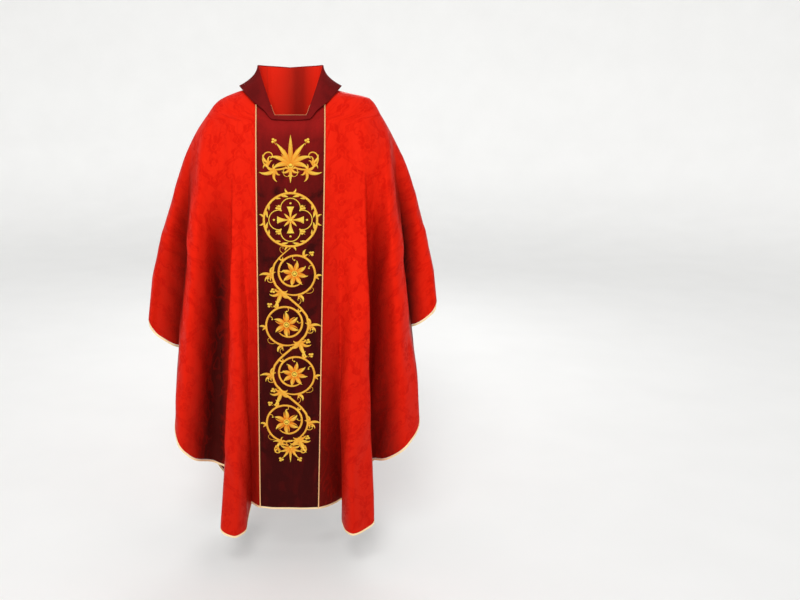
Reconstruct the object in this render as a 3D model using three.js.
// Gothic chasuble, worn, with no wearer: millimetres, +Z up, front towards -Y, the wearer's left at +X.
// The origin lies between the tops of the shoulders, which carry the whole garment.
//
// Each panel is a wall of cloth made of columns. A column is one grain line: it starts at the neckline
// or at the shoulder seam, follows the figure over the shoulder and falls to the hem. A fold is a group
// of columns that swell off the figure or sink towards it, more and more as they fall.

import * as THREE from "three";

// ---- driving dimensions ----
const CLOTH = 2.0; // damask with its lining
const VELVET = 1.6; // orphrey band
const COLLAR = 2.6; // velvet collar, doubled
const COLLAR_LINING = 1.4;
const GAP = 0.3; // between the two panels at the shoulder seam
const LAID = 0.6; // between a piece and what is sewn on it or to its edge
const NECK_HALF_WIDTH = 105;
const NECK_TOP = 45; // height of the neckline at the shoulder
const FRONT_NECK_DROP = 90; // how far the neckline dips at the centre front
const FRONT_NECK_POWER = 3.5;
const FIGURE_POWER = 2.5; // roundness of the figure's sections: 2 is an ellipse
const FOLD_RAMP = 420; // height over which a fold reaches its full depth
const CORD_RADIUS = 2.0; // gold cord on the edges of the orphreys
const BRAID_WIDTH = 6; // gold braid round the hem
const BRAID_THICKNESS = 2.4;
const NECK_EASE = 1; // how far the collar's lining keeps inside the neckline
const LEFT_TIP = { x: 460, z: -600 }; // lowest point of each sleeve, where the shoulder seam ends
const RIGHT_TIP = { x: 449, z: -658 };

// ---- mesh density ----
const ROWS = 20; // down a panel
const ROW_GROWTH = 1.3; // rows are closer together near the shoulder
const STEPS = 2; // columns from one row of a table to the next
const BAND_COLUMNS = 2 * STEPS; // from the centre to the orphrey's edge
const FINE = 90; // samples that measure a column before it is divided into rows
const CORD_SIDES = 6;
const CORD_TOP_ROW = { "-1": 1, 1: 2 }; // front and back: the cords start under the collar
const COLLAR_STEPS = 3; // collar columns from one of its rows to the next

// The general figure under the cloth: half depth at each height.
const FIGURE = rows("z front back", [
  [45, 22, 80],
  [33, 48, 88],
  [12, 72, 98],
  [-37, 102, 118],
  [-88, 122, 132],
  [-180, 142, 146],
  [-282, 150, 151],
  [-402, 153, 150],
  [-600, 155, 150],
  [-900, 156, 156],
  [-1340, 158, 166],
]);

// The shoulder seam over the shoulder and down the arm, as a front view shows it. From the last row it
// runs straight to the sleeve's tip.
const LEFT_SEAM = rows("z x", [
  [45, 105],
  [33, 155],
  [12, 238],
  [-37, 272],
  [-88, 303],
  [-180, 349],
  [-282, 386],
  [-402, 420],
  [-508, 447],
]);
const RIGHT_SEAM = rows("z x", [
  [45, 105],
  [33, 155],
  [5, 216],
  [-37, 250],
  [-88, 285],
  [-180, 328],
  [-282, 361],
  [-402, 399],
  [-530, 432],
]);

// Columns of each quarter, from the centre outwards. top is where a column leaves the neckline or the
// seam, as a share of the way along it (0 to 1 on the neckline, 1 to 2 on the seam). x and z are its
// place at the hem. swell is the share of the figure's depth that a fold adds or takes away at full
// strength, and the fold starts at the height in starts.
const FRONT_LEFT = rows("name top x z swell starts", [
  ["centre", 0, -4, -1247, -0.05, -800],
  ["band_mid", 0.56, 43, -1248, -0.05, -750],
  ["band_edge", 0.84, 90, -1247, -0.05, -700],
  ["valley_a", 1.015, 168, -1250, -0.44, -700],
  ["pipe_1_in", 1.04, 168, -1296, 0.08, -560],
  ["pipe_1", 1.085, 196, -1303, 0.45, -330],
  ["pipe_1_out", 1.135, 262, -1274, 0.33, -240],
  ["valley_b", 1.155, 246, -1158, -0.56, -150],
  ["valley_b_out", 1.185, 262, -1122, -0.53, -120],
  ["pipe_2_in", 1.22, 302, -1094, -0.12, -90],
  ["pipe_2", 1.255, 364, -1037, 0.26, -20],
  ["pipe_2_out", 1.3, 404, -966, 0.12, 40],
  ["pipe_2_under", 1.345, 388, -810, -0.4, 30],
  ["valley_c", 1.4, 370, -694, -0.82, 0],
  ["sleeve_in", 1.52, 398, -673, -0.64, -60],
  ["sleeve_mid", 1.65, 420, -658, -0.5, -150],
  ["sleeve_face", 1.8, 440, -641, -0.42, -250],
  ["sleeve_end", 2, LEFT_TIP.x, LEFT_TIP.z, 0, -500],
]);
const FRONT_RIGHT = rows("name top x z swell starts", [
  ["centre", 0, 4, -1247, -0.05, -800],
  ["band_mid", 0.56, 50, -1247, -0.05, -750],
  ["band_edge", 0.84, 97, -1243, -0.05, -700],
  ["valley_a", 1.01, 128, -1243, -0.32, -800],
  ["pipe_1_in", 1.022, 138, -1308, 0.15, -600],
  ["pipe_1", 1.04, 176, -1316, 0.39, -330],
  ["pipe_1_out", 1.063, 214, -1296, 0.27, -240],
  ["valley_b", 1.085, 202, -1150, -0.53, -150],
  ["valley_b_out", 1.12, 242, -1124, -0.48, -120],
  ["pipe_2_in", 1.18, 308, -1083, 0.03, -90],
  ["pipe_2", 1.225, 350, -1033, 0.2, -20],
  ["pipe_2_out", 1.277, 364, -980, 0.07, 40],
  ["pipe_2_under", 1.325, 352, -850, -0.4, 30],
  ["valley_c", 1.39, 340, -760, -0.82, 0],
  ["sleeve_in", 1.52, 368, -741, -0.64, -60],
  ["sleeve_mid", 1.65, 396, -722, -0.5, -150],
  ["sleeve_face", 1.8, 422, -703, -0.42, -250],
  ["sleeve_end", 2, RIGHT_TIP.x, RIGHT_TIP.z, 0, -500],
]);
const BACK_LEFT = rows("name top x z swell starts", [
  ["centre", 0, 0, -1300, -0.02, -700],
  ["band_mid", 0.56, 47, -1302, -0.01, -700],
  ["band_edge", 0.84, 94, -1302, 0, -700],
  ["pipe_1_in", 1.015, 118, -1310, 0.06, -500],
  ["pipe_1", 1.06, 165, -1322, 0.28, -340],
  ["pipe_1_out", 1.11, 214, -1290, 0.1, -260],
  ["valley_b", 1.15, 228, -1206, -0.56, -190],
  ["valley_b_out", 1.18, 254, -1160, -0.54, -150],
  ["pipe_2_in", 1.23, 292, -1110, -0.06, -90],
  ["pipe_2", 1.27, 332, -1045, 0.18, -40],
  ["pipe_2_out", 1.33, 366, -960, 0.08, 10],
  ["pipe_2_under", 1.38, 350, -810, -0.42, 10],
  ["valley_c", 1.45, 352, -700, -0.78, -20],
  ["sleeve_in", 1.56, 388, -682, -0.58, -80],
  ["sleeve_mid", 1.68, 416, -666, -0.44, -160],
  ["sleeve_face", 1.82, 438, -648, -0.38, -260],
  ["sleeve_end", 2, LEFT_TIP.x, LEFT_TIP.z, 0, -500],
]);
const BACK_RIGHT = rows("name top x z swell starts", [
  ["centre", 0, 0, -1300, -0.02, -700],
  ["band_mid", 0.56, 47, -1301, -0.03, -680],
  ["band_edge", 0.84, 94, -1300, -0.04, -640],
  ["valley_a", 1.015, 148, -1266, -0.44, -330],
  ["pipe_1_in", 1.05, 180, -1290, 0, -300],
  ["pipe_1", 1.095, 210, -1300, 0.28, -260],
  ["pipe_1_out", 1.135, 252, -1224, 0.05, -230],
  ["valley_b", 1.16, 250, -1180, -0.55, -190],
  ["valley_b_out", 1.185, 266, -1146, -0.52, -160],
  ["pipe_2_in", 1.22, 290, -1125, -0.04, -120],
  ["pipe_2", 1.27, 328, -1070, 0.18, -60],
  ["pipe_2_out", 1.33, 352, -990, 0.08, 0],
  ["pipe_2_under", 1.38, 340, -860, -0.4, 0],
  ["valley_c", 1.45, 330, -768, -0.76, -20],
  ["sleeve_in", 1.56, 364, -750, -0.58, -80],
  ["sleeve_mid", 1.68, 394, -730, -0.44, -160],
  ["sleeve_face", 1.82, 422, -708, -0.38, -260],
  ["sleeve_end", 2, RIGHT_TIP.x, RIGHT_TIP.z, 0, -500],
]);

// Half of the collar, from the centre front round to the centre back. It rolls over at its top edge
// and falls over the shoulders by way of mid to its lower edge. Inside, its lining runs down to the
// neckline, at the angle neck round it, and hangs below it by facing.
const COLLAR_ROWS = rows(
  "name roll_x roll_y roll_z mid_x mid_y mid_z edge_x edge_y edge_z neck facing",
  [
    ["front", 0, -108, -33, 0, -112, -38, 0, -114, -46, 0, 5],
    ["front_corner", 43, -106, -33, 47, -111, -37, 51, -114, -43, 25, 5],
    ["rise", 57, -86, -7, 67, -98, -12, 78, -106, -17, 42, 5],
    ["slope", 72, -54, 32, 91, -74, 24, 110, -84, 7, 66, 6],
    ["shoulder", 86, -20, 72, 109, -38, 58, 138, -44, 35, 84, 10],
    ["tip", 98, 24, 109, 113, 20, 78, 153, 8, 50, 106, 15],
    ["tip_back", 94, 42, 110, 113, 54, 74, 131, 82, 30, 118, 30],
    ["back_side", 82, 56, 109, 96, 82, 62, 104, 110, 6, 131, 52],
    ["back", 46, 74, 107, 54, 104, 42, 54, 131, -38, 154, 98],
    ["back_point", 0, 81, 104, 0, 114, 25, 0, 138, -84, 180, 106],
  ],
);

const LOOKS = {
  damask: { color: 0xd8200f, roughness: 0.45, metalness: 0 },
  velvet: { color: 0x4a0a12, roughness: 0.9, metalness: 0 },
  collar_velvet: { color: 0x8a1219, roughness: 0.85, metalness: 0 },
  satin: { color: 0xc81c10, roughness: 0.35, metalness: 0 },
  gold: { color: 0xd9a441, roughness: 0.4, metalness: 0.5 },
};

// ---- tables and curves ----

function rows(names, values) {
  const keys = names.split(" ");
  return values.map((row) => Object.fromEntries(keys.map((key, i) => [key, row[i]])));
}

// A smooth curve through a table's points that doesn't overshoot them.
function curve(xs, ys) {
  const last = xs.length - 1;
  const slopes = ys.slice(1).map((y, i) => (y - ys[i]) / (xs[i + 1] - xs[i]));
  const tangents = ys.map((_, i) => {
    if (i === 0) return slopes[0];
    if (i === last) return slopes[last - 1];
    const [a, b] = [slopes[i - 1], slopes[i]];
    return a * b <= 0 ? 0 : (2 * a * b) / (a + b);
  });
  return (x) => {
    let i = 0;
    while (i < last - 1 && (x - xs[i + 1]) * (xs[last] - xs[0]) > 0) i += 1;
    const width = xs[i + 1] - xs[i];
    const t = THREE.MathUtils.clamp((x - xs[i]) / width, 0, 1);
    const [t2, t3] = [t * t, t * t * t];
    return (
      ys[i] * (2 * t3 - 3 * t2 + 1) +
      ys[i + 1] * (3 * t2 - 2 * t3) +
      width * tangents[i] * (t3 - 2 * t2 + t) +
      width * tangents[i + 1] * (t3 - t2)
    );
  };
}

function tableCurve(table, from, to) {
  return curve(
    table.map((row) => row[from]),
    table.map((row) => row[to]),
  );
}

const figureDepth = {
  "-1": tableCurve(FIGURE, "z", "front"),
  1: tableCurve(FIGURE, "z", "back"),
};
const seamHalfWidth = { 1: seamCurve(LEFT_SEAM, LEFT_TIP), "-1": seamCurve(RIGHT_SEAM, RIGHT_TIP) };

function seamCurve(seam, tip) {
  const end = seam.at(-1);
  const upper = tableCurve(seam, "z", "x");
  return (z) => {
    if (z > end.z) return upper(z);
    return end.x + (tip.x - end.x) * Math.min(1, (z - end.z) / (tip.z - end.z));
  };
}

// Where the figure's surface lies at a place x and height z, on the front (-1) or the back (1).
function figureY(x, z, face) {
  const across = Math.min(1, Math.abs(x) / seamHalfWidth[x < 0 ? -1 : 1](z));
  const share = Math.pow(1 - Math.pow(across, FIGURE_POWER), 1 / FIGURE_POWER);
  return face * figureDepth[face](z) * share;
}

function necklineZ(x, face) {
  const dip = 1 - Math.pow(Math.abs(x) / NECK_HALF_WIDTH, FRONT_NECK_POWER);
  return face < 0 ? NECK_TOP - FRONT_NECK_DROP * dip : NECK_TOP;
}

// The point at the top of a column: on the neckline up to 1, then along the seam up to 2.
function topPoint(top, side, face) {
  if (top <= 1) {
    const x = side * NECK_HALF_WIDTH * Math.sin((top * Math.PI) / 2);
    return { x, z: necklineZ(x, face) };
  }
  const seam = side > 0 ? LEFT_SEAM : RIGHT_SEAM;
  const lengths = [0];
  seam.slice(1).forEach((row, i) => {
    lengths.push(lengths[i] + Math.hypot(row.x - seam[i].x, row.z - seam[i].z));
  });
  const along = (top - 1) * lengths.at(-1);
  const z = curve(lengths, seam.map((row) => row.z))(along);
  return { x: side * seamHalfWidth[side](z), z };
}

// ---- the drape ----

function quarter(table, side, face) {
  const index = table.map((_, i) => i);
  const read = (key) => curve(index, table.map((row) => row[key]));
  return {
    side,
    face,
    last: table.length - 1,
    top: read("top"),
    x: read("x"),
    z: read("z"),
    swell: read("swell"),
    starts: read("starts"),
  };
}

// One column of cloth from its top to the hem.
function column(part, at, count) {
  const top = topPoint(part.top(at), part.side, part.face);
  const hemX = part.side * part.x(at);
  const hemZ = part.z(at);
  const samples = [];
  for (let i = 0; i <= FINE; i += 1) {
    const drop = (i / FINE) ** 2;
    const z = top.z + (hemZ - top.z) * drop;
    const x = top.x + (hemX - top.x) * drop;
    const grown = THREE.MathUtils.smoothstep(part.starts(at) - z, 0, FOLD_RAMP);
    const y = figureY(x, z, part.face) * (1 + part.swell(at) * grown);
    samples.push(new THREE.Vector3(x, y + (part.face * GAP) / 2, z));
  }
  return spaced(samples, count);
}

function spaced(points, count) {
  const along = [0];
  points.slice(1).forEach((p, i) => along.push(along[i] + p.distanceTo(points[i])));
  const result = [];
  let i = 0;
  for (let n = 0; n <= count; n += 1) {
    const target = along.at(-1) * (n / count) ** ROW_GROWTH;
    while (i < points.length - 2 && along[i + 1] < target) i += 1;
    const t = (target - along[i]) / (along[i + 1] - along[i] || 1);
    result.push(points[i].clone().lerp(points[i + 1], THREE.MathUtils.clamp(t, 0, 1)));
  }
  return result;
}

// A panel's middle surface as a grid, from its right sleeve end to its left one.
function panelGrid(rightTable, leftTable, face) {
  const right = quarter(rightTable, -1, face);
  const left = quarter(leftTable, 1, face);
  const grid = [];
  for (let i = right.last * STEPS; i > 0; i -= 1) grid.push(column(right, i / STEPS, ROWS));
  const centre = grid.length;
  for (let i = 0; i <= left.last * STEPS; i += 1) grid.push(column(left, i / STEPS, ROWS));
  // The two halves meet on one centre line.
  const twin = column(right, 0, ROWS);
  grid[centre].forEach((p, j) => p.lerp(twin[j], 0.5));
  return { grid, centre, face };
}

// Normals that point away from the wearer.
function gridNormals(grid, face) {
  return grid.map((points, i) =>
    points.map((_, j) => {
      const before = grid[Math.max(i - 1, 0)][j];
      const after = grid[Math.min(i + 1, grid.length - 1)][j];
      const above = points[Math.max(j - 1, 0)];
      const below = points[Math.min(j + 1, points.length - 1)];
      const across = after.clone().sub(before);
      const normal = across.cross(below.clone().sub(above)).normalize();
      return normal.multiplyScalar(face);
    }),
  );
}

// ---- solids ----

// A closed wall from two grids of the same size. Where ring is true the columns close on themselves.
function wall(outer, inner, ring = false) {
  const columns = outer.length;
  const depth = outer[0].length;
  const positions = [...outer.flat(), ...inner.flat()].flatMap((p) => [p.x, p.y, p.z]);
  const index = (layer, i, j) => layer * columns * depth + (i % columns) * depth + j;
  const faces = [];
  const quad = (a, b, c, d) => faces.push(a, b, c, a, c, d);
  const across = ring ? columns : columns - 1;
  for (let i = 0; i < across; i += 1) {
    for (let j = 0; j < depth - 1; j += 1) {
      quad(index(0, i, j), index(0, i, j + 1), index(0, i + 1, j + 1), index(0, i + 1, j));
      quad(index(1, i, j), index(1, i + 1, j), index(1, i + 1, j + 1), index(1, i, j + 1));
    }
    const bottom = depth - 1;
    quad(index(0, i, 0), index(0, i + 1, 0), index(1, i + 1, 0), index(1, i, 0));
    quad(index(0, i, bottom), index(1, i, bottom), index(1, i + 1, bottom), index(0, i + 1, bottom));
  }
  if (!ring) {
    const end = columns - 1;
    for (let j = 0; j < depth - 1; j += 1) {
      quad(index(0, 0, j), index(1, 0, j), index(1, 0, j + 1), index(0, 0, j + 1));
      quad(index(0, end, j), index(0, end, j + 1), index(1, end, j + 1), index(1, end, j));
    }
  }
  return facingOut(positions, faces);
}

function facingOut(positions, faces) {
  let volume = 0;
  const corner = (n) => new THREE.Vector3().fromArray(positions, faces[n] * 3);
  for (let n = 0; n < faces.length; n += 3) {
    volume += corner(n).dot(corner(n + 1).cross(corner(n + 2)));
  }
  if (volume < 0) faces.reverse();
  const geometry = new THREE.BufferGeometry();
  geometry.setAttribute("position", new THREE.Float32BufferAttribute(positions, 3));
  geometry.setIndex(faces);
  geometry.computeVertexNormals();
  return geometry;
}

function offset(grid, normals, distance) {
  return grid.map((points, i) =>
    points.map((p, j) => p.clone().addScaledVector(normals[i][j], distance)),
  );
}

// A cord of round section along a path, with closed ends or closed on itself.
function cord(path, radius) {
  const rings = path.map((p, i) => {
    const ahead = path[Math.min(i + 1, path.length - 1)];
    const behind = path[Math.max(i - 1, 0)];
    const along = ahead.point.clone().sub(behind.point).normalize();
    const up = p.normal.clone().addScaledVector(along, -p.normal.dot(along)).normalize();
    const aside = along.clone().cross(up);
    return Array.from({ length: CORD_SIDES }, (_, k) => {
      const angle = (2 * Math.PI * (k + 0.5)) / CORD_SIDES;
      return p.point
        .clone()
        .addScaledVector(up, radius * Math.cos(angle))
        .addScaledVector(aside, radius * Math.sin(angle));
    });
  });
  const positions = rings.flat().flatMap((p) => [p.x, p.y, p.z]);
  const faces = [];
  for (let i = 0; i < rings.length - 1; i += 1) {
    for (let k = 0; k < CORD_SIDES; k += 1) {
      const next = (k + 1) % CORD_SIDES;
      const [a, b] = [i * CORD_SIDES, (i + 1) * CORD_SIDES];
      faces.push(a + k, a + next, b + next, a + k, b + next, b + k);
    }
  }
  const last = (rings.length - 1) * CORD_SIDES;
  for (let k = 1; k < CORD_SIDES - 1; k += 1) {
    faces.push(0, k + 1, k, last, last + k, last + k + 1);
  }
  return facingOut(positions, faces);
}

// Along the seam the cut edges stand upright, so that the front and back edges face each other.
function faceTheSeam(grid, normals) {
  grid.forEach((points, i) => {
    const whole = i === 0 || i === grid.length - 1;
    points.forEach((p, j) => {
      const onSeam = whole || (j === 0 && Math.abs(p.x) >= NECK_HALF_WIDTH);
      if (!onSeam) return;
      const ahead = whole ? points[Math.min(j + 1, ROWS)] : grid[i + 1][0];
      const behind = whole ? points[Math.max(j - 1, 0)] : grid[i - 1][0];
      const along = ahead.clone().sub(behind);
      const normal = new THREE.Vector3(-along.z, 0, along.x).normalize();
      normals[i][j] = normal.x * p.x < 0 ? normal.negate() : normal;
    });
  });
}

// ---- pieces ----

const garment = new THREE.Group();

function add(name, geometry, look) {
  const mesh = new THREE.Mesh(geometry, new THREE.MeshStandardMaterial(LOOKS[look]));
  mesh.name = name;
  garment.add(mesh);
}

// A panel with its orphrey, the cords on the orphrey's edges and the braid round the hem. It gives
// back the panel's top edge.
function addPanel(prefix, rightTable, leftTable, face) {
  const { grid, centre } = panelGrid(rightTable, leftTable, face);
  const normals = gridNormals(grid, face);
  faceTheSeam(grid, normals);
  add(prefix, wall(offset(grid, normals, CLOTH / 2), offset(grid, normals, -CLOTH / 2)), "damask");

  const band = grid.slice(centre - BAND_COLUMNS, centre + BAND_COLUMNS + 1);
  const bandNormals = normals.slice(centre - BAND_COLUMNS, centre + BAND_COLUMNS + 1);
  const lies = CLOTH / 2 + LAID;
  const rests = lies + VELVET + 1.5 * LAID;
  const from = CORD_TOP_ROW[face];
  const velvet = wall(offset(band, bandNormals, lies + VELVET), offset(band, bandNormals, lies));
  add(`${prefix}_orphrey`, velvet, "velvet");

  for (const side of [-1, 1]) {
    const at = centre + side * BAND_COLUMNS;
    const path = grid[at].slice(from).map((p, i) => {
      const inwards = grid[at - side][i + from].clone().sub(p).normalize();
      const normal = normals[at][i + from];
      const point = p.clone().addScaledVector(inwards, CORD_RADIUS);
      return { point: point.addScaledVector(normal, rests + CORD_RADIUS), normal };
    });
    add(`${prefix}_cord_${side < 0 ? "right" : "left"}`, cord(path, CORD_RADIUS), "gold");
  }

  add(`${prefix}_hem_braid`, hemBraid(grid, normals), "gold");
  return grid.map((points) => points[0]);
}

// A flat braid that carries on the cloth beyond the hem, square to the hem line.
function hemBraid(grid, normals) {
  const last = grid.length - 1;
  const strip = grid.map((points, i) => {
    const edge = points.at(-1);
    const along = grid[Math.min(i + 1, last)].at(-1).clone().sub(grid[Math.max(i - 1, 0)].at(-1));
    const away = along.cross(normals[i].at(-1));
    if (i === 0 || i === last) away.setY(0);
    if (away.dot(edge.clone().sub(points.at(-2))) < 0) away.negate();
    away.normalize();
    return [1.5 * LAID, 1.5 * LAID + BRAID_WIDTH].map((step) => edge.clone().addScaledVector(away, step));
  });
  const facing = strip.map((points, i) => points.map(() => normals[i].at(-1)));
  const half = BRAID_THICKNESS / 2;
  return wall(offset(strip, facing, half), offset(strip, facing, -half));
}

// ---- collar ----

const collarIndex = COLLAR_ROWS.map((_, i) => i);
const collarEnd = COLLAR_ROWS.length - 1;
const collarValue = Object.fromEntries(
  Object.keys(COLLAR_ROWS[0])
    .filter((key) => key !== "name")
    .map((key) => [key, curve(collarIndex, COLLAR_ROWS.map((row) => row[key]))]),
);

function collarPoint(line, at, side) {
  const [x, y, z] = ["x", "y", "z"].map((axis) => collarValue[`${line}_${axis}`](at));
  return new THREE.Vector3(side * x, y, z);
}

// A point on the neckline of the panels, moved inwards to clear them.
function neckPoint(at, side, necklines) {
  const around = THREE.MathUtils.degToRad(collarValue.neck(at));
  const x = side * NECK_HALF_WIDTH * Math.sin(around);
  const neckline = necklines[around < Math.PI / 2 ? 0 : 1];
  const next = neckline.findIndex((p) => p.x > x);
  const [a, b] = [neckline[next - 1], neckline[next]];
  const point = a.clone().lerp(b, (x - a.x) / (b.x - a.x));
  const inwards = new THREE.Vector3(point.x, point.y, 0).normalize();
  return point.addScaledVector(inwards, -(CLOTH + COLLAR_LINING) / 2 - NECK_EASE);
}

function addCollar(necklines) {
  const places = [];
  for (let n = 0; n <= collarEnd * COLLAR_STEPS; n += 1) places.push([n / COLLAR_STEPS, 1]);
  for (let n = collarEnd * COLLAR_STEPS - 1; n > 0; n -= 1) places.push([n / COLLAR_STEPS, -1]);

  const fall = places.map(([at, side]) => {
    const [top, mid, edge] = ["roll", "mid", "edge"].map((line) => collarPoint(line, at, side));
    const bend = new THREE.QuadraticBezierCurve3(
      top,
      mid.clone().multiplyScalar(2).addScaledVector(top, -0.5).addScaledVector(edge, -0.5),
      edge,
    );
    return bend.getPoints(4);
  });
  const normals = ringNormals(fall);
  const outer = offset(fall, normals, COLLAR / 2);
  const inner = offset(fall, normals, -COLLAR / 2);
  add("collar", wall(outer, inner, true), "collar_velvet");

  const tuck = (COLLAR + COLLAR_LINING) / 2 + LAID;
  const stand = places.map(([at, side], i) => {
    const top = fall[i][0].clone().addScaledVector(normals[i][0], -tuck);
    const neck = neckPoint(at, side, necklines);
    const low = neck.clone().setZ(neck.z - collarValue.facing(at));
    return [top, top.clone().lerp(neck, 0.5), neck, low];
  });
  const standNormals = ringNormals(stand);
  const standOuter = offset(stand, standNormals, COLLAR_LINING / 2);
  const standInner = offset(stand, standNormals, -COLLAR_LINING / 2);
  add("collar_lining", wall(standOuter, standInner, true), "satin");
}

// Normals that point away from the neck.
function ringNormals(grid) {
  const count = grid.length;
  return grid.map((points, i) =>
    points.map((_, j) => {
      const across = grid[(i + 1) % count][j].clone().sub(grid[(i + count - 1) % count][j]);
      const above = points[Math.max(j - 1, 0)];
      const below = points[Math.min(j + 1, points.length - 1)];
      return below.clone().sub(above).cross(across).normalize();
    }),
  );
}

const frontTop = addPanel("front", FRONT_RIGHT, FRONT_LEFT, -1);
const backTop = addPanel("back", BACK_RIGHT, BACK_LEFT, 1);
addCollar([frontTop, backTop]);

export default garment;
